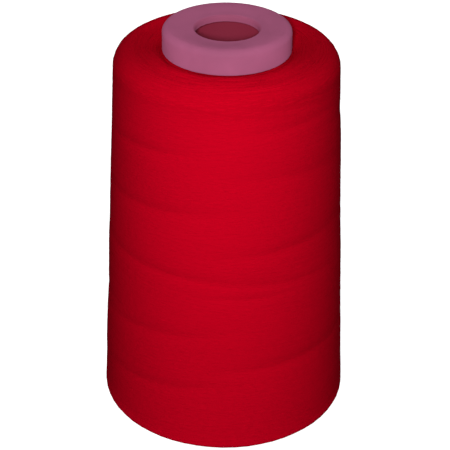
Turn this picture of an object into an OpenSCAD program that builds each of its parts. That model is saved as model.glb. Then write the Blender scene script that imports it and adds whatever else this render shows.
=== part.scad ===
// Sewing thread cone: a two-piece tapered core with a package of thread cross-wound on it.
// The foot of the core stands on z = 0, and the spindle axis is +Z.

/* [Thread package] */
// Diameter of the package at its base
pack_base_d = 63; // [58:0.5:68]
// Diameter of the package at the foot of its rounded shoulder
pack_top_d = 54.4; // [52:0.2:57]
// Height of the package, from its underside to the crest of its shoulder
pack_h = 96.5; // [80:0.5:120]
// Radius of the rounded shoulder
shoulder_r = 5; // [3:0.5:6]
// Radius of the rounded edge at the base
base_edge_r = 1.2; // [0.8:0.2:3]
// How far the top end dips from its crest down to the head
top_dip = 1.5; // [1.3:0.1:2]
// Diameter of the sewing thread
thread_d = 0.25; // [0.2:0.05:0.4]

/* [Core] */
// Diameter of the spindle hole through the head
bore_d = 15.2; // [14:0.2:17]
// Outer diameter of the head
head_d = 30.8; // [30.4:0.2:33]
// How far the head stands above the crest of the package
head_rise = 5; // [4.5:0.1:7]
// Half angle of the barrel's taper, in degrees
barrel_taper = 4.33; // [3.5:0.01:4.5]
// Wall thickness of the barrel
wall = 1.4; // [1.2:0.1:1.6]
// Height of bare core that stands below the package
foot_h = 4; // [4:0.5:6]
// Number of slits in the foot that catch the end of the thread
slit_count = 4; // [2:1:6]

/* [Hidden] */
$fn = 96;

// Heights along the axis.
crest_z = foot_h + pack_h;
head_sink = 1.1; // the head's rim hangs this far below the crest
rim_z = crest_z - head_sink;
head_top_z = crest_z + head_rise;
lid_t = 2.3; // thickness of the head's top plate
lid_z = head_top_z - lid_t; // underside of that plate, where the neck stops

// The barrel's neck is straight inside and out, and the barrel tapers below it.
neck_r = 13.2;
neck_in_r = neck_r - wall;
neck_z = rim_z - 2;
socket_z = neck_z - 6; // the straight inside reaches down to here
flange_w = 1.8; // how far the foot's flange stands out
flange_t = 1.6;
foot_edge_r = 0.4;

// The head covers the neck with its rim and plugs it with its skirt.
head_r = head_d / 2;
head_edge_r = 1.6; // rounding of the head's outer edge
rim_wall = 1.7;
rim_play = 0.1;
rim_edge_r = 0.4;
mouth_r = 0.7; // rounding of the spindle hole's upper edge
dish = 0.6; // how far the top plate sinks towards the hole
skirt_play = 0.05;
skirt_r = neck_in_r - skirt_play;
skirt_t = 1.3;
skirt_z = rim_z - 5; // end of the skirt
lead_in = 0.5; // chamfer at the skirt's end

// The skirt's bead, which snaps into a groove inside the neck.
bead_r = 0.35;
bead_hub_r = skirt_r - 0.1; // the bead stands out of the skirt by its radius less this
bead_z = rim_z - 2.6;
bead_play = 0.1;

// Grip grooves moulded round the barrel keep the first layers from slipping.
grip_pitch = 5;
grip_depth = 0.3;
grip_w = 1.6;
grip_first_z = foot_h + 3;
grip_count = floor((neck_z - 4 - grip_first_z) / grip_pitch);

slit_w = 0.8;
slit_h = 2.6;

// The package: its rounded edges are joined by a tangent side, and a winding group ends at each share.
base_r = pack_base_d / 2;
base_hub = [base_r - base_edge_r, foot_h + base_edge_r]; // centre of the base's rounded edge
crest_r = pack_top_d / 2 - shoulder_r;
crest_hub = [crest_r, crest_z - shoulder_r]; // centre of the shoulder
hub_gap = crest_hub - base_hub;
side_lean = atan2(-hub_gap.x, hub_gap.y) - asin((shoulder_r - base_edge_r) / norm(hub_gap));
winding_play = 0.04; // between the barrel and the first layer
dish_r = head_r + 0.2; // the top end is level inside this radius
dip_power = 4; // how closely the dip keeps to the head
inner_share = 0.4;
middle_share = 0.85;

// The transfer tail: caught in a slit, turned round the bare foot and led up to the package.
tail_turns = 3;
tail_r = thread_d / 2;
tail_pitch = thread_d * 1.1;
tail_steps = 22; // in one turn
tail_lay_r = (barrel_r(flange_t) + tail_r + 0.02) / cos(180 / tail_steps);
tail_z = flange_t + tail_r + 0.05;
tail_up = foot_h - tail_r - 0.04 - tail_z - tail_turns * tail_pitch; // left to rise after the turns
tail_rise = [0.1, 0.4, 0.8, 1]; // shares of that reached in the last steps
// The caught end: x is out from the turns, y is along them, z is up from the first of them.
tail_caught = [
    [-3.4, 0.3, -0.5], [-2.8, 0.1, -0.3], [-2.2, 0, -0.2], [-1.4, 0, -0.1],
    [-0.6, 0, 0], [-0.2, 0.1, 0], [0, 0.5, 0]
];

// Outside radius of the barrel at height z.
function barrel_r(z) = neck_r + max(0, neck_z - z) * tan(barrel_taper);

// Points on an arc about c, from angle a0 to a1.
function arc(c, r, a0, a1, n) = [for (i = [0:n]) let (a = a0 + (a1 - a0) * i / n) c + r * [cos(a), sin(a)]];

// One grip groove in the barrel's outside, as four points going up from height z.
function grip(z) = [
    [barrel_r(z), z],
    [barrel_r(z) - grip_depth, z + grip_depth],
    [barrel_r(z + grip_w) - grip_depth, z + grip_w - grip_depth],
    [barrel_r(z + grip_w), z + grip_w]
];

// Tapered barrel with a flanged foot, grip grooves, a straight neck and a snap groove for the head.
module core_barrel() {
    foot_r = barrel_r(0) + flange_w;
    outside = concat(
        arc([foot_r - foot_edge_r, foot_edge_r], foot_edge_r, -90, 0, 4),
        arc([foot_r - foot_edge_r, flange_t - foot_edge_r], foot_edge_r, 0, 90, 4),
        [[barrel_r(flange_t), flange_t]],
        [for (i = [0:grip_count - 1]) each grip(grip_first_z + i * grip_pitch)],
        [[neck_r, neck_z], [neck_r, lid_z]]
    );
    inside = [
        [neck_in_r, lid_z],
        [neck_in_r, socket_z],
        [barrel_r(socket_z - 1) - wall, socket_z - 1],
        [barrel_r(0) - wall, foot_edge_r],
        [barrel_r(0) - wall + foot_edge_r, 0]
    ];
    color("lightpink")
    difference() {
        rotate_extrude() polygon(concat(outside, inside));
        rotate_extrude() translate([bead_hub_r, bead_z]) circle(r = bead_r + bead_play);
        for (i = [0:slit_count - 1])
            rotate(i * 360 / slit_count)
            translate([barrel_r(0) - wall - 1, -slit_w / 2, -1])
            cube([wall + flange_w + 2, slit_w, slit_h + 1]);
    }
}

// Head: a dished top plate with the spindle hole, a rim outside the neck and a skirt inside it.
module head_ring() {
    skirt_in_r = skirt_r - skirt_t;
    outline = concat(
        [[neck_r + rim_play, lid_z], [head_r - rim_wall, rim_z]],
        arc([head_r - rim_edge_r, rim_z + rim_edge_r], rim_edge_r, -90, 0, 4),
        arc([head_r - head_edge_r, head_top_z - head_edge_r], head_edge_r, 0, 90, 12),
        arc([bore_d / 2 + mouth_r, head_top_z - dish - mouth_r], mouth_r, 90, 180, 6),
        [[bore_d / 2, lid_z], [skirt_in_r, lid_z], [skirt_in_r, skirt_z]],
        [[skirt_r - lead_in, skirt_z], [skirt_r, skirt_z + 2 * lead_in], [skirt_r, lid_z]]
    );
    color("pink")
    union() {
        rotate_extrude() polygon(outline);
        rotate_extrude() translate([bead_hub_r, bead_z]) circle(r = bead_r);
    }
}

// How far radius r is from the head towards the crest, as a share.
function out_share(r) = max(0, min(1, (r - dish_r) / (crest_r - dish_r)));

// Height of the package's top end at radius r: level under the head, and rising to the crest.
function end_z(r) = crest_z - top_dip * pow(1 - out_share(r), dip_power);

// Half section of the whole package.
module package() {
    side = concat(
        arc(base_hub, base_edge_r, -90, side_lean, 8),
        arc(crest_hub, shoulder_r, side_lean, 90, 12)
    );
    top = [for (i = [1:10]) let (r = crest_r + (dish_r - crest_r) * i / 10) [r, end_z(r)]];
    bore = [
        [neck_r + winding_play, end_z(neck_r)],
        [neck_r + winding_play, neck_z],
        [barrel_r(foot_h) + winding_play, foot_h]
    ];
    polygon(concat(side, top, bore));
}

// Half section of everything inside the cone that the winding has reached at a share of its thickness.
module reached(share) {
    low_r = barrel_r(foot_h) + share * (base_r - barrel_r(foot_h));
    high_r = neck_r + share * (crest_r + shoulder_r - neck_r);
    polygon([[0, foot_h], [low_r, foot_h], [high_r, crest_z], [0, crest_z]]);
}

// The first layers, wound right on the barrel.
module inner_winding() {
    color("crimson")
    rotate_extrude()
    intersection() {
        package();
        reached(inner_share);
    }
}

// The layers between the first and the last group.
module middle_winding() {
    color("firebrick")
    rotate_extrude()
    difference() {
        intersection() {
            package();
            reached(middle_share);
        }
        reached(inner_share);
    }
}

// The last layers, which carry the side and the shoulder.
module outer_winding() {
    color("red")
    rotate_extrude()
    difference() {
        package();
        reached(middle_share);
    }
}

// A tube swept along a route that stays near the level.
module tube(route, r, sides) {
    last = len(route) - 1;
    function heading(i) = let (d = route[min(i + 1, last)] - route[max(i - 1, 0)]) d / norm(d);
    function aside(i) = let (c = cross(heading(i), [0, 0, 1])) c / norm(c);
    rings = [
        for (i = [0:last], k = [0:sides - 1])
            let (a = 360 * k / sides, side = aside(i))
            route[i] + r * (cos(a) * side + sin(a) * cross(side, heading(i)))
    ];
    walls = [
        for (i = [0:last - 1], k = [0:sides - 1])
            let (n = (k + 1) % sides)
            [i * sides + k, i * sides + n, (i + 1) * sides + n, (i + 1) * sides + k]
    ];
    ends = [[for (k = [sides - 1:-1:0]) k], [for (k = [0:sides - 1]) last * sides + k]];
    polyhedron(points = rings, faces = concat(walls, ends));
}

// Turns of thread laid side by side round the foot, with their two ends.
module transfer_tail() {
    turns_end = tail_turns * tail_steps;
    function on_turns(i, up) =
        let (a = 360 * i / tail_steps)
        [tail_lay_r * cos(a), tail_lay_r * sin(a), tail_z + tail_pitch * min(i, turns_end) / tail_steps + up];
    caught = [for (step = tail_caught) step + [tail_lay_r, 0, tail_z]];
    turns = [for (i = [1:turns_end]) on_turns(i, 0)];
    rise = [for (i = [0:3]) on_turns(turns_end + 1 + i, tail_up * tail_rise[i])];
    color("red") tube(concat(caught, turns, rise), tail_r, 8);
}

core_barrel();
head_ring();
inner_winding();
middle_winding();
outer_winding();
transfer_tail();
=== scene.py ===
"""Cone of sewing thread: surfaces, finishes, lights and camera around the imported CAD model.

Lengths are in metres unless a name ends in _mm. The spindle axis is +Z and the foot stands on z = 0.
"""

import math

import bpy
import numpy as np
from bpy.props import FloatProperty, FloatVectorProperty, IntProperty, PointerProperty
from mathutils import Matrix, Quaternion, Vector


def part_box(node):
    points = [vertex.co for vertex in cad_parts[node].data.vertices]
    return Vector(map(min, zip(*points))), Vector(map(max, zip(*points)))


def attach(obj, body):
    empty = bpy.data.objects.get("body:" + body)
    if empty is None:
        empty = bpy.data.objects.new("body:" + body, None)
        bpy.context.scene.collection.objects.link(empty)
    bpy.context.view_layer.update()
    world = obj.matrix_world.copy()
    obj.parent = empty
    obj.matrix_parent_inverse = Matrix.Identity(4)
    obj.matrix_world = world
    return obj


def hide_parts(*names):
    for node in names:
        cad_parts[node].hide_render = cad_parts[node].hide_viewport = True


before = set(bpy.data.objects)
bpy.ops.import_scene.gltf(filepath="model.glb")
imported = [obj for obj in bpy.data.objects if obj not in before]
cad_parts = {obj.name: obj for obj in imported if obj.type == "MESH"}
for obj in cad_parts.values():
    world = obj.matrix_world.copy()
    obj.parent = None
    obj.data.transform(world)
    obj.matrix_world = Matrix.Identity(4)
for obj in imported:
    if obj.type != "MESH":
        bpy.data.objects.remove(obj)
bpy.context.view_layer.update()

bl_info = {
    "name": "Sewing Thread Cone",
    "version": (1, 0, 0),
    "blender": (4, 5, 0),
    "location": "3D View > Sidebar > Thread Cone",
    "description": "Builds a cone of cross-wound sewing thread on a moulded core, with its studio",
    "category": "Add Mesh",
}

MM = 0.001
TURN = 2 * math.pi


# ---------------------------------------------------------------- sizes taken from the CAD model

BASE_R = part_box("outer_winding")[1].x
UNDERSIDE_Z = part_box("outer_winding")[0].z
CREST_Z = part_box("middle_winding")[1].z
HEAD_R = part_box("head_ring")[1].x
HEAD_TOP_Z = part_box("head_ring")[1].z
SKIRT_END_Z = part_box("head_ring")[0].z
NECK_TOP_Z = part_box("core_barrel")[1].z
BARREL_R = 20.3 * MM  # just outside the barrel at the package's underside
NECK_R = 13.3 * MM  # just outside the barrel's neck
DISH_R = HEAD_R + 0.2 * MM  # inside this radius the package's top end is level
RIM_Z = CREST_Z - 1.1 * MM  # the head's lower edge
SIDE_START = BASE_R - BARREL_R - UNDERSIDE_Z  # what distance along the cover exceeds height by, on the side


# ---------------------------------------------------------------- names and steps that several parts share

THREAD_MATERIAL = "spun_polyester_thread"
EDGE_STEPS, SHOULDER_STEPS, TOP_STEPS = 24, 40, 29  # along the cover's base edge, shoulder and top end
SMOOTHING = 20  # samples on each side that the cover's normal is averaged over
BED_ROWS, BED_STEPS = 380, 256  # along the cover and round the axis
HEAD_STEPS = 256  # round the axis
STRAND_SIDES = 6  # of a laid strand's section
LOOSE = 0.3  # how flat the threads on the ends are pressed, where 0 leaves them round
END_MARGIN = 0.2 * MM  # strands keep this far from the cover's two ends
GOLDEN_STEP = 0.618034  # share of a turn from one arc to the next
PLACE_STEP = 0.7548777  # share of the way across an end from one arc to the next


# ---------------------------------------------------------------- settings


class ThreadSettings(bpy.types.PropertyGroup):
    diameter: FloatProperty(
        name="Thread diameter", description="Thickness of the thread", default=0.25 * MM,
        min=0.1 * MM, unit="LENGTH")
    shoulder_radius: FloatProperty(
        name="Shoulder radius", description="Radius of the rounded upper edge",
        default=5 * MM, unit="LENGTH")
    base_edge_radius: FloatProperty(
        name="Base edge radius", description="Radius of the rounded lower edge",
        default=1.2 * MM, unit="LENGTH")
    crest_radius: FloatProperty(
        name="Crest radius", description="Distance from the axis to the highest ring of thread",
        default=22.2 * MM, unit="LENGTH")
    top_dip: FloatProperty(
        name="Top dip", description="How far the top end sinks from its crest to the head",
        default=1.5 * MM, unit="LENGTH")
    strokes: IntProperty(
        name="Strokes", description="How many times the last thread ran from one end to the other",
        default=216, min=8)
    turns_per_stroke: FloatProperty(
        name="Turns per stroke", description="Turns round the cone in one run from end to end",
        default=4.618, min=1)
    laid_depth: FloatProperty(
        name="Laid depth", description="Depth of the layers that are modelled thread by thread",
        default=0.14 * MM, unit="LENGTH")
    end_arcs: IntProperty(
        name="End arcs", description="Visible turning points of the thread on each end", default=620, min=0)
    colour: FloatVectorProperty(
        name="Thread colour", description="Dyed colour of the thread", subtype="COLOR",
        default=(0.62, 0.0006, 0.0148), min=0, max=1)
    # Painted shade: the darker colour that gaps, grooves and deeper threads are painted towards.
    shade: FloatVectorProperty(
        name="Shade between threads", description="Colour in the gaps and grooves", subtype="COLOR",
        default=(0.46, 0.0004, 0.0095), min=0, max=1)


class CoreSettings(bpy.types.PropertyGroup):
    bore_radius: FloatProperty(
        name="Spindle hole radius", description="Radius of the hole in the head",
        default=7.6 * MM, unit="LENGTH")
    edge_radius: FloatProperty(
        name="Head edge radius", description="Rounding of the head's outer edge",
        default=1.6 * MM, unit="LENGTH")
    dish: FloatProperty(
        name="Dish", description="How far the head's top sinks towards the hole",
        default=0.6 * MM, unit="LENGTH")
    head_colour: FloatVectorProperty(
        name="Head colour", description="Colour of the bare plastic", subtype="COLOR",
        default=(0.44, 0.117, 0.227), min=0, max=1)
    backed_colour: FloatVectorProperty(
        name="Backed colour", description="Colour of the thin plastic where the thread shows through it",
        subtype="COLOR", default=(0.258, 0.023, 0.050), min=0, max=1)


class StudioSettings(bpy.types.PropertyGroup):
    camera_distance: FloatProperty(
        name="Camera distance", description="From the middle of the package", default=0.3796, unit="LENGTH")
    camera_elevation: FloatProperty(
        name="Camera elevation", description="Angle above the horizon", default=math.radians(30.3),
        subtype="ANGLE")
    camera_roll: FloatProperty(
        name="Camera roll", description="Turn about the line of sight", default=math.radians(0.65),
        subtype="ANGLE")
    lens: FloatProperty(
        name="Lens", description="Focal length in millimetres", default=120, min=1, unit="CAMERA")
    key_power: FloatProperty(
        name="Key light", description="Power of the light near the camera",
        default=1.04, min=0, unit="POWER")
    back_power: FloatProperty(
        name="Back light", description="Power of the stronger light behind the cone", default=1.1, min=0,
        unit="POWER")
    ambient: FloatProperty(
        name="Ambient light", description="Strength of the light from all round", default=0.045, min=0)
    floor_colour: FloatVectorProperty(
        name="Floor colour", description="Colour of the floor", subtype="COLOR", default=(0.85, 0.85, 0.85),
        min=0, max=1)


# ---------------------------------------------------------------- meshes


def lattice(name, points, wrap_rows=False, along=None, around=None, tone=None, pressed=None):
    """Puts one or more grids of points into a mesh object.

    points has the shape (pieces, rows, columns, 3). The face of cell (i, j) joins points (i, j), (i, j + 1),
    (i + 1, j + 1) and (i + 1, j). Columns always close into a ring. Rows close too with wrap_rows, and
    otherwise the first and last ring of each piece is closed by one flat face. along gives the first
    texture coordinate of each row and around the second of each column, one more than there are columns.
    tone and pressed become point attributes: a number, and a vector that the shading leans towards.
    """
    pieces, rows, columns = points.shape[:3]
    index = np.arange(pieces * rows * columns, dtype=np.int32).reshape(pieces, rows, columns)
    right = np.roll(index, -1, axis=2)
    stop = rows if wrap_rows else rows - 1
    up, up_right = np.roll(index, -1, axis=1)[:, :stop], np.roll(right, -1, axis=1)[:, :stop]
    quads = np.stack([index[:, :stop], right[:, :stop], up_right, up], axis=-1).reshape(-1, 4)
    caps = np.zeros((0, columns), np.int32)
    if not wrap_rows:
        caps = np.concatenate([index[:, 0, ::-1], index[:, -1]])
    corners = np.concatenate([quads.ravel(), caps.ravel()])
    starts = np.concatenate([4 * np.arange(len(quads)), quads.size + columns * np.arange(len(caps))])
    mesh = bpy.data.meshes.new(name)
    mesh.vertices.add(index.size)
    mesh.vertices.foreach_set("co", points.astype(np.float32).ravel())
    mesh.loops.add(len(corners))
    mesh.loops.foreach_set("vertex_index", corners.astype(np.int32))
    mesh.polygons.add(len(starts))
    mesh.polygons.foreach_set("loop_start", starts.astype(np.int32))
    if along is not None:
        ahead = np.concatenate([along[1:], along[:1]])[:stop]
        u = np.stack([along[:stop], along[:stop], ahead, ahead], axis=-1)
        v = np.stack([around[:-1], around[1:], around[1:], around[:-1]], axis=-1)
        shape = (pieces, stop, columns, 4)
        u, v = np.broadcast_to(u[None, :, None], shape), np.broadcast_to(v[None, None], shape)
        uv = np.stack([u, v], axis=-1)
        uv = np.concatenate([uv.ravel(), np.zeros(2 * caps.size)])
        mesh.uv_layers.new(name="Lay").data.foreach_set("uv", uv.astype(np.float32))
    if tone is not None:
        values = mesh.attributes.new("tone", "FLOAT", "POINT")
        spread = np.broadcast_to(tone, points.shape[:3])
        values.data.foreach_set("value", spread.astype(np.float32).ravel())
    if pressed is not None:
        values = mesh.attributes.new("pressed", "FLOAT_VECTOR", "POINT")
        spread = np.broadcast_to(pressed[:, :, None], points.shape)
        values.data.foreach_set("vector", spread.astype(np.float32).ravel())
    mesh.update(calc_edges=True)
    mesh.validate()
    mesh.shade_smooth()
    thing = bpy.data.objects.new(name, mesh)
    bpy.context.scene.collection.objects.link(thing)
    return thing


def unit(vectors):
    """Each vector divided by its length."""
    return vectors / np.linalg.norm(vectors, axis=-1, keepdims=True)


def tube_points(path, outwards, radius, sides):
    """Rings round paths of shape (pieces, rows, 3).

    A ring's points are path + radius * (cos(a) * n + sin(a) * b), where b is square to the path and to the
    outwards direction, and n is square to both the path and b.
    """
    heading = unit(np.gradient(path, axis=1))
    b = unit(np.cross(heading, outwards))
    n = np.cross(b, heading)
    a = TURN * np.arange(sides) / sides
    ring = np.cos(a)[:, None] * n[:, :, None] + np.sin(a)[:, None] * b[:, :, None]
    return path[:, :, None] + radius * ring


def arc(centre, radius, start, end, steps):
    """Points on a circle's arc, from angle start to end in degrees."""
    a = np.radians(np.linspace(start, end, steps + 1))
    return np.column_stack([centre[0] + radius * np.cos(a), centre[1] + radius * np.sin(a)])


def turned(section, steps):
    """A closed section in (r, z) turned about the axis: (r cos t, r sin t, z)."""
    t = TURN * np.arange(steps) / steps
    r, z = section[:, 0], section[:, 1]
    level = np.broadcast_to(z, (steps, len(z)))
    return np.stack([np.outer(np.cos(t), r), np.outer(np.sin(t), r), level], axis=-1)


def lengths(path):
    """Distance along a path at each of its points, in millimetres."""
    steps = np.linalg.norm(np.diff(path, axis=0), axis=1)
    return np.concatenate([[0], np.cumsum(steps)]) / MM


def wander(rng, t, end, spacing, spread):
    """A slow random drift along t: normal random values at even spacing up to end, joined by lines."""
    knots = np.arange(0, end, spacing)
    return np.interp(t, knots, rng.normal(0, spread, len(knots)))


class Cover:
    """The outside of the package as one line in (r, z), measured by the distance s along it.

    It runs from the barrel outwards over the underside, round the base edge, up the tapered side, over the
    shoulder and inwards over the top end to the neck.
    """

    def __init__(self, sizes):
        edge, shoulder = sizes.base_edge_radius, sizes.shoulder_radius
        low = np.array([BASE_R - edge, UNDERSIDE_Z + edge])
        high = np.array([sizes.crest_radius, CREST_Z - shoulder])
        gap = high - low
        lean = math.degrees(math.atan2(-gap[0], gap[1]) - math.asin((shoulder - edge) / np.hypot(*gap)))
        r = np.linspace(sizes.crest_radius, DISH_R, TOP_STEPS + 1)[1:]
        rise = (r - DISH_R) / (sizes.crest_radius - DISH_R)
        top = np.column_stack([r, CREST_Z - sizes.top_dip * (1 - rise) ** 4])
        line = np.concatenate([
            [[BARREL_R, UNDERSIDE_Z]],
            arc(low, edge, -90, lean, EDGE_STEPS),
            arc(high, shoulder, lean, 90, SHOULDER_STEPS),
            top,
            [[NECK_R, CREST_Z - sizes.top_dip]]])
        s = np.concatenate([[0], np.cumsum(np.hypot(*np.diff(line, axis=0).T))])
        # The corners, counted along the line: base edge from and to, shoulder from and to, and the head.
        side, crest = 1 + EDGE_STEPS, 2 + EDGE_STEPS + SHOULDER_STEPS
        corners = s[[1, side, side + 1, crest, crest + TOP_STEPS]]
        self.base_s, self.side_s, self.shoulder_s, self.crest_s, self.dish_s = corners
        self.end_s = s[-1]
        self.s = np.linspace(0, self.end_s, 6000)
        self.r, self.z = np.interp(self.s, s, line[:, 0]), np.interp(self.s, s, line[:, 1])
        # The normal is averaged over a millimetre, so that it turns smoothly at the corners.
        slope_r, slope_z = self.smooth(np.gradient(self.r)), self.smooth(np.gradient(self.z))
        self.normal = unit(np.column_stack([slope_z, -slope_r]))

    @staticmethod
    def smooth(values):
        """The running mean over SMOOTHING samples on each side."""
        span = np.ones(2 * SMOOTHING + 1) / (2 * SMOOTHING + 1)
        return np.convolve(np.pad(values, SMOOTHING, mode="edge"), span, mode="valid")

    def at(self, s, angle, height):
        """Points above the cover at distance s, turned by angle, and the directions outwards there."""
        normal_r = np.interp(s, self.s, self.normal[:, 0])
        normal_z = np.interp(s, self.s, self.normal[:, 1])
        r = np.interp(s, self.s, self.r) + height * normal_r
        z = np.interp(s, self.s, self.z) + height * normal_z
        points = np.stack(np.broadcast_arrays(r * np.cos(angle), r * np.sin(angle), z), axis=-1)
        outwards = np.stack(np.broadcast_arrays(
            normal_r * np.cos(angle), normal_r * np.sin(angle), normal_z), axis=-1)
        return points, np.broadcast_to(outwards, points.shape)

    def facing(self, s, angle):
        """Directions square to the side with its bands and swells.

        They are outwards - slope * uphill, with the slope measured over a tenth of a millimetre.
        """
        step = 0.05 * MM
        slope = (relief(s + step, angle) - relief(s - step, angle)) / (2 * step)
        _, outwards = self.at(s, angle, 0)
        level = np.hypot(outwards[..., 0], outwards[..., 1])
        inwards = -outwards[..., 2]
        uphill = np.stack([inwards * np.cos(angle), inwards * np.sin(angle), level], axis=-1)
        return outwards - slope[..., None] * uphill

    def press(self, s):
        """How flat the threads are pressed: 11 along the side, easing to 0.3 at the base edge and the crest.

        It eases over the two rounded edges and the 9 mm above or 10 mm below them.
        """
        tight = 11
        from_base = (s - self.base_s) / (self.side_s - self.base_s + 9 * MM)
        from_crest = (self.crest_s - s) / (self.crest_s - self.shoulder_s + 10 * MM)
        share = np.clip(np.minimum(from_base, from_crest), 0, 1)
        return LOOSE + (tight - LOOSE) * share ** 2 * (3 - 2 * share)


# Winding bands: height, angle of the middle, rise per turn, half width, half length in degrees and depth.
# All but the angles are in millimetres.
BANDS = (
    (82.8, -134, 16, 1.0, 26, 0.36), (68.0, -128, 14, 1.2, 34, 0.36), (51.8, -122, -4, 1.1, 38, 0.36),
    (34.2, -128, 26, 1.2, 32, 0.32), (19.6, -124, 26, 1.2, 36, 0.29), (96.0, -58, -20, 1.4, 34, 0.29),
    (89.8, -55, 0, 0.9, 22, 0.29), (77.4, -56, -14, 1.3, 32, 0.25), (58.6, -56, 6, 1.2, 34, 0.36),
    (49.6, -62, -14, 0.9, 30, 0.25), (26.6, -54, 2, 1.3, 34, 0.40), (46.8, -80, -4, 0.6, 20, 0.18),
    (84.0, 20, -14, 1.1, 34, 0.32), (66.0, 60, 16, 1.2, 38, 0.32), (40.0, 35, -12, 1.2, 36, 0.32),
    (20.0, 75, 14, 1.4, 44, 0.29), (80.0, 120, 12, 1.0, 34, 0.32), (56.0, 140, -14, 1.3, 40, 0.32),
    (34.0, 165, 14, 1.1, 36, 0.32), (15.0, 150, -10, 1.3, 40, 0.25),
)


def band_depth(s, angle):
    """How deep the winding bands press the surface in at distance s and angle, in metres.

    Each band is a slanted line. Across it the section is a narrow groove at the bottom of a wide valley,
    0.4 exp(-(d / (1.35 width))^2) + 0.6 exp(-|d| / (3.5 width)), and along it the band fades out to both
    sides with a bell, exp(-(angle / length)^2).
    """
    depth = np.zeros(np.broadcast(s, angle).shape)
    for height, middle, rise, width, length, deep in BANDS:
        away = (angle - math.radians(middle) + math.pi) % TURN - math.pi
        off = (s - (height * MM + SIDE_START + rise * MM * away / TURN)) / (width * MM)
        across = 0.4 * np.exp(-(off / 1.35) ** 2) + 0.6 * np.exp(-np.abs(off) / 3.5)
        depth = depth + deep * MM * across * np.exp(-(away / math.radians(length)) ** 2)
    return depth


def swell(s, angle):
    """Slow waves of the package's surface: a sum of slanted sines, in metres."""
    around = TURN * s / MM
    long = 0.035 * np.sin(around / 37 + angle)
    middle = 0.03 * np.sin(around / 26 - 2 * angle + 1)
    short = 0.02 * np.sin(around / 17 + 3 * angle + 2)
    return MM * (long + middle + short)


def relief(s, angle):
    """How far the package's side stands above the plain cover: its swells less its bands."""
    return swell(s, angle) - band_depth(s, angle)


# ---------------------------------------------------------------- finishes


class Value:
    """A number that varies over a surface. Arithmetic on it adds Math nodes."""

    def __init__(self, finish, socket):
        self.finish, self.socket = finish, socket

    def math(self, operation, *others):
        inputs = dict(enumerate((self, *others)))
        return self.finish.add("Math", {"operation": operation}, inputs)

    def __add__(self, other):
        return self.math("ADD", other)

    def __mul__(self, other):
        return self.math("MULTIPLY", other)

    def __rsub__(self, other):
        return self.finish.add("Math", {"operation": "SUBTRACT"}, {0: other, 1: self})

    __radd__, __rmul__ = __add__, __mul__


class Finish:
    """One material, built node by node."""

    def __init__(self, name):
        self.material = bpy.data.materials.new(name)
        self.material.use_nodes = True
        self.tree = self.material.node_tree
        self.tree.nodes.clear()

    def add(self, kind, settings=(), inputs=(), output=0):
        """Adds a node: its settings first, and then the values or links of its sockets."""
        node = self.tree.nodes.new("ShaderNode" + kind)
        for key, value in dict(settings).items():
            setattr(node, key, value)
        for key, value in dict(inputs).items():
            if isinstance(value, Value):
                self.tree.links.new(value.socket, node.inputs[key])
            else:
                node.inputs[key].default_value = value
        return Value(self, node.outputs[output]) if node.outputs else None

    def noise(self, scale, detail=2, vector=None):
        """Cloudy noise over the object, or over another vector."""
        where = vector or self.add("TexCoord", output="Object")
        return self.add("TexNoise", inputs={"Vector": where, "Scale": scale, "Detail": detail})

    def position(self):
        """The height z and the distance from the axis."""
        where = self.add("TexCoord", output="Object")
        x, y, z = (self.add("SeparateXYZ", inputs={0: where}, output=axis) for axis in "XYZ")
        return z, (x * x + y * y).math("SQRT")

    def blend(self, factor, first, second):
        """A mix of two colours."""
        return self.add("Mix", {"data_type": "RGBA"}, {0: factor, 6: first, 7: second}, output=2)

    def ramp(self, value, low, high):
        """0 below low, 1 above high, and smooth between."""
        return self.add("MapRange", {"interpolation_type": "SMOOTHSTEP"},
                        {"Value": value, "From Min": low, "From Max": high})

    def bump(self, height, distance, strength=1.0):
        return self.add("Bump", inputs={"Height": height, "Distance": distance, "Strength": strength})

    def surface(self, **inputs):
        """The Principled shader, with underscores in its sockets' names for spaces."""
        shader = self.add("BsdfPrincipled", inputs={k.replace("_", " "): v for k, v in inputs.items()})
        self.add("OutputMaterial", inputs={"Surface": shader})
        return self.material


def opaque(colour):
    return (*colour, 1)


def thread_finish(sizes):
    """Two-ply spun polyester: plies that turn round the thread, loose fibres, an uneven dye and the painted
    shade that the tone attribute carries.
    """
    f = Finish(THREAD_MATERIAL)
    tone = f.add("Attribute", {"attribute_name": "tone"}, output="Fac")
    lay = f.add("UVMap", {"uv_map": "Lay"})
    along = f.add("SeparateXYZ", inputs={0: lay}, output="X")
    around = f.add("SeparateXYZ", inputs={0: lay}, output="Y")
    ply_pitch = 0.62  # along the thread, in millimetres
    plies = (along * (TURN / ply_pitch) + around * (2 * TURN)).math("SINE") * 0.5 + 0.5
    fibres = f.noise(1.0, 2, f.add("CombineXYZ", inputs={"X": along * 1.6, "Y": around * 9.0}))
    cloud = f.noise(90, 2)
    # lit blends from the shade colour to the dye: random tone, plies, fibres and clouds, and the painted
    # shade that the tone attribute carries.
    lit = tone * 0.7 + plies * 0.12 + fibres * 0.12 + cloud * 0.14
    # Packed threads are pressed flat, so their normals lean by this vector towards the package's own.
    pressed = f.add("Attribute", {"attribute_name": "pressed"}, output="Vector")
    round_normal = f.bump(plies * 0.8 + fibres * 0.35, 0.03 * MM, 0.6)
    leaning = f.add("VectorMath", {"operation": "ADD"}, {0: round_normal, 1: pressed})
    return f.surface(
        Base_Color=f.blend(f.ramp(lit, 0.0, 0.85), opaque(sizes.shade), opaque(sizes.colour)),
        Roughness=0.86 - fibres * 0.12,
        Normal=f.add("VectorMath", {"operation": "NORMALIZE"}, {0: leaning}),
        Specular_IOR_Level=0.02,
        Specular_Tint=opaque((1.0, 0.1, 0.12)),
        Sheen_Weight=0.04,
        Sheen_Roughness=0.5,
        Sheen_Tint=opaque((1.0, 0.02, 0.05)))


def thread_material(sizes):
    """The thread's material, made when it is first asked for."""
    return bpy.data.materials.get(THREAD_MATERIAL) or thread_finish(sizes)


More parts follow.
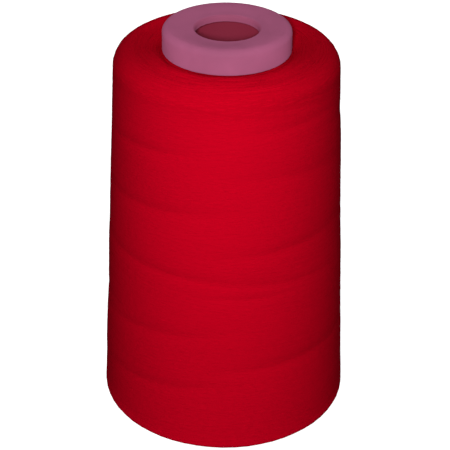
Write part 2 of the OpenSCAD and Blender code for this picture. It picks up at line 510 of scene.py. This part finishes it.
def bed_finish(sizes):
    """The layers under the last ones: ridges of packed thread that run round the cone."""
    f = Finish("packed_thread")
    z, radius = f.position()
    ridge_pitch = 0.3 * MM
    shift = f.noise(140, 2) * 0.5
    ridges = ((z + radius) * (TURN / ridge_pitch) + shift * TURN).math("SINE") * 0.5 + 0.5
    cloud = f.noise(90, 2)
    # Painted shade: the bed is painted part of the way towards the shade colour, most in the ridges' valleys.
    lit = ridges * 0.2 + cloud * 0.25 + 0.55
    return f.surface(
        Base_Color=f.blend(f.ramp(lit, 0.0, 1.0), opaque(sizes.shade), opaque(sizes.colour)),
        Roughness=0.9 - ridges * 0.1,
        Normal=f.bump(ridges, 0.08 * MM, 0.25),
        Specular_IOR_Level=0.0)


def plastic_finish(name, sizes, bare_above, bare_below, backed_radius):
    """Matt polypropylene: a fine grain, faint flow clouds, and a deeper colour where thread backs it.

    The deeper colour lies between the heights bare_below and bare_above, within backed_radius of the axis. A
    trace of it lines the spindle hole as painted shade.
    """
    f = Finish(name)
    z, radius = f.position()
    between = f.ramp(z, bare_below - 0.4 * MM, bare_below + 0.6 * MM) * (
        1 - f.ramp(z, bare_above - 0.6 * MM, bare_above + 0.2 * MM))
    backed = between * (1 - f.ramp(radius, backed_radius, backed_radius + 0.6 * MM))
    flow = f.noise(110, 3)
    grain = f.noise(5200, 2)
    soft = f.noise(900, 2)
    bare = f.blend(f.ramp(flow, 0.3, 0.7), opaque([c * 0.93 for c in sizes.head_colour]),
                   opaque([min(1, c * 1.05) for c in sizes.head_colour]))
    # Painted shade: the hole's mouth and wall are painted 30% of the way towards the backed colour.
    mouth = (1 - f.ramp(radius, sizes.bore_radius + 0.1 * MM, sizes.bore_radius + 0.7 * MM)) * 0.3
    return f.surface(
        Base_Color=f.blend(backed.math("MAXIMUM", mouth), bare, opaque(sizes.backed_colour)),
        Roughness=0.6 + grain * 0.12 + flow * 0.06,
        Normal=f.bump(grain * 0.6 + soft * 0.4, 0.012 * MM, 0.5),
        Diffuse_Roughness=0.4,
        Specular_IOR_Level=0.08)


# ---------------------------------------------------------------- pieces


class THREADCONE_OT_package_bed(bpy.types.Operator):
    """Adds the body under the last layers: the cover's line, set in, closed along the barrel and turned"""

    bl_idname = "threadcone.package_bed"
    bl_label = "Package Bed"

    def execute(self, context):
        sizes = context.scene.thread_settings
        cover = Cover(sizes)
        margin = 0.1 * MM
        s = np.linspace(margin, cover.end_s - margin, BED_ROWS)
        angle = TURN * np.arange(BED_STEPS)[:, None] / BED_STEPS
        # On the side the oldest laid strands are half sunk in the bed. On the ends it lies under the arcs.
        on_side = np.clip(np.minimum(s - cover.base_s, cover.crest_s - s) / (3 * MM), 0, 1)
        depth = 0.25 * MM - 0.12 * MM * on_side
        points, _ = cover.at(s, angle, relief(s, angle) * on_side - depth)
        along_barrel = np.array([
            [NECK_R, CREST_Z - 4 * MM],
            [NECK_R + 0.1 * MM, RIM_Z - 2.6 * MM],
            [BARREL_R + 0.1 * MM, UNDERSIDE_Z + 0.6 * MM]])
        bore = turned(along_barrel, BED_STEPS)
        points = np.concatenate([points, bore], axis=1)[None, :, ::-1]
        bed = lattice("package_bed", points, wrap_rows=True)
        bed.data.materials.append(bed_finish(sizes))
        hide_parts("inner_winding", "middle_winding")
        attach(bed, "root")
        return {"FINISHED"}


class THREADCONE_OT_last_strokes(bpy.types.Operator):
    """Adds the last strokes of thread, one continuous strand run up and down the cone in slanted turns"""

    bl_idname = "threadcone.last_strokes"
    bl_label = "Last Strokes"

    def execute(self, context):
        sizes = context.scene.thread_settings
        cover = Cover(sizes)
        rng = np.random.default_rng(7)
        steps, parts = 60, 4  # steps in one turn, and meshes
        turns = sizes.strokes * sizes.turns_per_stroke
        t = np.arange(int(turns * steps) // parts * parts + 1) / steps
        stroke = t / sizes.turns_per_stroke
        # The run from end to end is a triangle wave, asin(k cos(pi x)) / asin(k), whose corners k rounds.
        sharp = 0.9985
        run = 0.5 - 0.5 * np.arcsin(sharp * np.cos(np.pi * stroke)) / math.asin(sharp)
        knots = np.arange(sizes.strokes + 2)
        share = knots / sizes.strokes
        low = cover.base_s - 1.2 * MM + 1.2 * MM * share + rng.uniform(-0.6, 0.6, len(knots)) * MM
        high = cover.crest_s + 0.6 * MM - 5.2 * MM * share + rng.uniform(-0.8, 0.8, len(knots)) * MM
        s = np.interp(stroke, knots, low) * (1 - run) + np.interp(stroke, knots, high) * run
        angle = TURN * t
        # Guides never lay a thread quite evenly, so it drifts along the side and in height.
        s = np.clip(s + wander(rng, t, turns + 2, 0.37, 0.05 * MM), END_MARGIN, cover.end_s - END_MARGIN)
        height = relief(s, angle) - 0.5 * sizes.diameter - sizes.laid_depth * (1 - t / turns)
        height += wander(rng, t, turns + 2, 0.21, 0.02 * MM)
        path, outwards = cover.at(s, angle, height)
        pressed = cover.facing(s, angle) * cover.press(s)[:, None]
        points = tube_points(path[None], outwards[None], 0.5 * sizes.diameter, STRAND_SIDES)[0]
        length = lengths(path)
        # Painted shade: older strokes, which lie deeper, are painted a little darker, and so are the bands'
        # bottoms.
        shade = 0.78 + 0.14 * t / turns
        shade = shade + np.interp(stroke, knots, rng.normal(0, 0.03, len(knots)))
        shade -= 0.12 * band_depth(s, angle) / (0.20 * MM)
        # Painted shade: the threads are painted darker in a ring round the shoulder, where they turn back.
        shade -= 0.55 * np.exp(-((s - cover.crest_s + 6 * MM) / (5 * MM)) ** 2)
        shade = np.clip(shade, 0, 1)
        around = np.arange(STRAND_SIDES + 1) / STRAND_SIDES
        per_part = (len(t) - 1) // parts
        for part in range(parts):
            rows = slice(part * per_part, (part + 1) * per_part + 1)
            strand = lattice(
                f"last_strokes_{part + 1}", points[None, rows], along=length[rows], around=around,
                tone=shade[None, rows, None], pressed=pressed[None, rows])
            strand.data.materials.append(thread_material(sizes))
            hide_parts("outer_winding")
            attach(strand, "root")
        return {"FINISHED"}


class THREADCONE_OT_end_arcs(bpy.types.Operator):
    """Adds the turning points of older strokes, short arcs of thread that surface on both ends"""

    bl_idname = "threadcone.end_arcs"
    bl_label = "End Arcs"

    def execute(self, context):
        sizes = context.scene.thread_settings
        cover = Cover(sizes)
        rng = np.random.default_rng(11)
        steps, count = 15, sizes.end_arcs
        length_mm = 14  # of an arc, near enough for its plies
        for name, low, high in (("top_arcs", cover.crest_s - 2.5 * MM, cover.end_s - 1.2 * MM),
                                ("underside_arcs", 0.4 * MM, cover.base_s + 0.5 * MM)):
            # Golden-angle steps spread the arcs evenly; each dives below its neighbours at both ends.
            middle = TURN * GOLDEN_STEP * np.arange(count) + rng.uniform(-0.1, 0.1, count)
            place = low + (high - low) * (np.arange(count) * PLACE_STEP % 1)
            half = np.radians(rng.uniform(24, 42, count))
            share = np.linspace(-1, 1, steps)
            angle = middle[:, None] + half[:, None] * share
            slant = rng.normal(0, 0.16 * MM, count)
            bow = rng.uniform(0.05, 0.25, count) * MM
            s = place[:, None] + slant[:, None] * share - bow[:, None] * share ** 2
            sunk = rng.uniform(0, 0.14, count)[:, None] * MM
            height = -0.5 * sizes.diameter - sunk - 0.30 * MM * share ** 4
            path, outwards = cover.at(np.clip(s, END_MARGIN, cover.end_s - END_MARGIN), angle, height)
            points = tube_points(path, outwards, 0.5 * sizes.diameter, STRAND_SIDES)
            # Painted shade: the arcs are painted darker than the side's strokes, most of all towards the
            # head, where they lie deep beside its rim.
            painted_head_shade = np.exp(-((place - cover.dish_s) / (1.6 * MM)) ** 2)
            shade = 0.58 + rng.normal(0, 0.12, count) - 0.4 * painted_head_shade
            shade = np.clip(shade, 0, 1)[:, None, None]
            arcs = lattice(
                name, points, along=np.linspace(0, length_mm, steps),
                around=np.arange(STRAND_SIDES + 1) / STRAND_SIDES, tone=shade, pressed=LOOSE * outwards)
            arcs.data.materials.append(thread_material(sizes))
            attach(arcs, "root")
        return {"FINISHED"}


class THREADCONE_OT_transfer_tail(bpy.types.Operator):
    """Adds the start of the thread: caught in a slit, turned round the bare foot and led up to the package"""

    bl_idname = "threadcone.transfer_tail"
    bl_label = "Transfer Tail"

    def execute(self, context):
        sizes = context.scene.thread_settings
        radius, sides = 0.5 * sizes.diameter, 8
        # In millimetres: the radius of the turns, the first one's height, their pitch and the last rise.
        turns, lay_r, first_z, pitch, up = 3, 20.6, 1.78, 0.275, 1.22
        climb = 0.18  # share of a turn that the last rise takes
        t = np.linspace(0.02, turns + climb, 260)
        rise = np.clip((t - turns) / climb, 0, 1)
        z = first_z + pitch * np.minimum(t, turns) + up * rise ** 2 * (3 - 2 * rise)
        turned_on = np.column_stack([lay_r * np.cos(TURN * t), lay_r * np.sin(TURN * t), z])
        caught = np.array([
            [17.4, 0.3, 1.3], [18.0, 0.1, 1.5], [18.6, 0, 1.6], [19.4, 0, 1.7],
            [20.1, 0.05, 1.8], [20.4, 0.25, 1.8], [20.58, 0.8, 1.8], [20.6, 1.5, 1.8]])
        path = np.concatenate([caught, turned_on]) * MM
        points = tube_points(path[None], np.broadcast_to([0.0, 0.0, 1.0], path.shape)[None], radius, sides)
        tail = lattice(
            "transfer_tail_thread", points, along=lengths(path), around=np.arange(sides + 1) / sides,
            tone=np.full((1, 1, 1), 0.85), pressed=unit(path * [1, 1, 0])[None])
        tail.data.materials.append(thread_material(sizes))
        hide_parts("transfer_tail")
        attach(tail, "root")
        return {"FINISHED"}


class THREADCONE_OT_head(bpy.types.Operator):
    """Adds the moulded head: its section, with every edge rounded, turned about the axis"""

    bl_idname = "threadcone.head"
    bl_label = "Head"

    def execute(self, context):
        core = context.scene.core_settings
        edge, bore = core.edge_radius, core.bore_radius
        bead_z = RIM_Z - 2.6 * MM
        lid_z = NECK_TOP_Z  # underside of the top plate
        mouth = 0.7 * MM  # rounding of the hole's upper edge
        skirt, skirt_in = 11.75 * MM, 10.45 * MM  # outside and inside radius of the skirt
        bead = 0.25 * MM
        tip, fine = 0.4 * MM, 0.15 * MM  # roundings of the rim and the skirt, and of the inner edges
        plateau = np.column_stack([
            np.linspace(HEAD_R - edge, bore + mouth, 14)[1:-1],
            HEAD_TOP_Z - core.dish * np.sin(np.linspace(0, np.pi / 2, 14)[1:-1]) ** 2])
        section = np.concatenate([
            [[NECK_R, lid_z], [NECK_R, lid_z - 1 * MM]],
            [[13.7 * MM, RIM_Z + 0.2 * MM], [13.9 * MM, RIM_Z]],
            arc((HEAD_R - tip, RIM_Z + tip), tip, -90, 0, 6),
            [[HEAD_R, RIM_Z + k * MM] for k in (0.8, 1.4, 2.0, 2.6, 3.2)],
            arc((HEAD_R - edge, HEAD_TOP_Z - edge), edge, 0, 90, 24),
            plateau,
            arc((bore + mouth, HEAD_TOP_Z - core.dish - mouth), mouth, 90, 180, 12),
            [[bore, lid_z + k * MM] for k in (0.75, 0.5, 0.3)],
            arc((bore + fine, lid_z + fine), fine, 180, 270, 4),
            [[8.8 * MM, lid_z], [9.8 * MM, lid_z], [skirt_in - 0.1 * MM, lid_z]],
            [[skirt_in, lid_z - k * MM] for k in (0.1, 1, 3, 5, 7, 8.4)],
            arc((skirt_in + fine, SKIRT_END_Z + fine), fine, 180, 270, 4),
            arc((skirt - tip, SKIRT_END_Z + tip), tip, -90, 0, 5),
            [[skirt, bead_z - k * MM] for k in (1.3, 0.4)],
            arc((skirt, bead_z), bead, -70, 70, 6),
            [[skirt, bead_z + k * MM] for k in (0.4, 2.5, 5)],
            [[skirt, lid_z]]])
        head = lattice("head_moulding", turned(section[::-1], HEAD_STEPS)[None], wrap_rows=True)
        # Thread shows through the head only below its top plate and inside the neck.
        head.data.materials.append(plastic_finish("head_plastic", core, lid_z, 0.0, 12.4 * MM))
        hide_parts("head_ring")
        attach(head, "root")
        return {"FINISHED"}


class THREADCONE_OT_barrel(bpy.types.Operator):
    """Gives the barrel its plastic: bare at the foot and at the neck's top, deeper where thread backs it"""

    bl_idname = "threadcone.barrel"
    bl_label = "Barrel Finish"

    def execute(self, context):
        core = context.scene.core_settings
        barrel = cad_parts["core_barrel"]
        all_of_it = 40 * MM
        finish = plastic_finish("barrel_plastic", core, NECK_TOP_Z, UNDERSIDE_Z, all_of_it)
        for material_slot in barrel.material_slots:
            material_slot.material = finish
        return {"FINISHED"}


class THREADCONE_OT_stage(bpy.types.Operator):
    """Adds the floor, the soft lights and the camera"""

    bl_idname = "threadcone.stage"
    bl_label = "Stage"

    def execute(self, context):
        studio = context.scene.studio_settings
        self.make_floor(studio)
        self.make_lights(studio)
        self.make_camera(studio)
        scene = context.scene
        scene.view_settings.view_transform = "Standard"
        return {"FINISHED"}

    def make_floor(self, studio):
        half, thickness = 3.0, 0.01
        square = half * np.array([[-1, -1, 0], [1, -1, 0], [1, 1, 0], [-1, 1, 0]])
        floor = lattice("floor", np.stack([square - [0, 0, thickness], square])[None])
        floor.data.shade_flat()
        f = Finish("floor_finish")
        f.surface(Base_Color=opaque(studio.floor_colour), Roughness=0.9, Specular_IOR_Level=0.0,
                  Emission_Color=opaque((1, 1, 1)), Emission_Strength=0.96)
        floor.data.materials.append(f.material)
        # The floor would light the cone from below; the ambient light does that instead.
        floor.visible_diffuse = False
        floor.visible_glossy = False

    def make_lights(self, studio):
        world = bpy.context.scene.world or bpy.data.worlds.new("studio")
        bpy.context.scene.world = world
        world.use_nodes = True
        background = world.node_tree.nodes["Background"]
        background.inputs["Color"].default_value = (1, 1, 1, 1)
        background.inputs["Strength"].default_value = studio.ambient
        middle = Vector((0, 0, 0.5 * (UNDERSIDE_Z + CREST_Z)))
        # Each light is a disc: power, diameter, azimuth, elevation, and distance from the package's middle.
        for name, power, size, azimuth, elevation, distance in (
                ("key_light", studio.key_power, 0.06, -2.4, 31, 0.36),
                ("right_back_light", studio.back_power, 0.40, 156, 4, 0.60),
                ("left_back_light", 0.8 * studio.back_power, 0.40, 192, 4, 0.60)):
            lamp = bpy.data.lights.new(name, "AREA")
            lamp.shape = "DISK"
            lamp.energy, lamp.size = power, size
            light = bpy.data.objects.new(name, lamp)
            bpy.context.scene.collection.objects.link(light)
            a, e = math.radians(azimuth), math.radians(elevation)
            away = Vector((math.sin(a) * math.cos(e), -math.cos(a) * math.cos(e), math.sin(e)))
            light.location = middle + distance * away
            light.rotation_mode = "QUATERNION"
            light.rotation_quaternion = (-away).to_track_quat("-Z", "Y")
            light.visible_camera = False
            light.visible_glossy = name == "key_light"

    def make_camera(self, studio):
        lens = bpy.data.cameras.new("camera")
        lens.lens, lens.sensor_width = studio.lens, 36
        lens.clip_start, lens.clip_end = 0.01, 50
        camera = bpy.data.objects.new("camera", lens)
        bpy.context.scene.collection.objects.link(camera)
        middle = Vector((0, 0, 0.5 * (UNDERSIDE_Z + CREST_Z)))
        e = studio.camera_elevation
        back = Vector((0, -math.cos(e), math.sin(e)))
        camera.location = middle + studio.camera_distance * back
        aim = middle - Vector((0, 0, 1.26 * MM))
        roll = Quaternion((0, 0, 1), studio.camera_roll)
        camera.rotation_mode = "QUATERNION"
        camera.rotation_quaternion = (aim - camera.location).to_track_quat("-Z", "Y") @ roll
        bpy.context.scene.camera = camera


class THREADCONE_PT_panel(bpy.types.Panel):
    bl_idname = "THREADCONE_PT_panel"
    bl_label = "Thread Cone"
    bl_space_type = "VIEW_3D"
    bl_region_type = "UI"
    bl_category = "Thread Cone"

    def draw(self, context):
        for settings in (context.scene.thread_settings, context.scene.core_settings,
                         context.scene.studio_settings):
            box = self.layout.box()
            for key in type(settings).__annotations__:
                box.prop(settings, key)
        for operator in OPERATORS:
            self.layout.operator(operator.bl_idname)


SETTINGS = (
    ("thread_settings", ThreadSettings),
    ("core_settings", CoreSettings),
    ("studio_settings", StudioSettings),
)
OPERATORS = (
    THREADCONE_OT_stage,
    THREADCONE_OT_package_bed,
    THREADCONE_OT_last_strokes,
    THREADCONE_OT_end_arcs,
    THREADCONE_OT_transfer_tail,
    THREADCONE_OT_head,
    THREADCONE_OT_barrel,
)


def register():
    for name, group in SETTINGS:
        bpy.utils.register_class(group)
        setattr(bpy.types.Scene, name, PointerProperty(type=group))
    for operator in OPERATORS:
        bpy.utils.register_class(operator)
    bpy.utils.register_class(THREADCONE_PT_panel)


def unregister():
    bpy.utils.unregister_class(THREADCONE_PT_panel)
    for operator in reversed(OPERATORS):
        bpy.utils.unregister_class(operator)
    for name, group in reversed(SETTINGS):
        delattr(bpy.types.Scene, name)
        bpy.utils.unregister_class(group)


def main():
    register()
    bpy.ops.threadcone.stage()
    bpy.ops.threadcone.package_bed()
    bpy.ops.threadcone.last_strokes()
    bpy.ops.threadcone.end_arcs()
    bpy.ops.threadcone.transfer_tail()
    bpy.ops.threadcone.head()
    bpy.ops.threadcone.barrel()


if __name__ == "__main__":
    main()
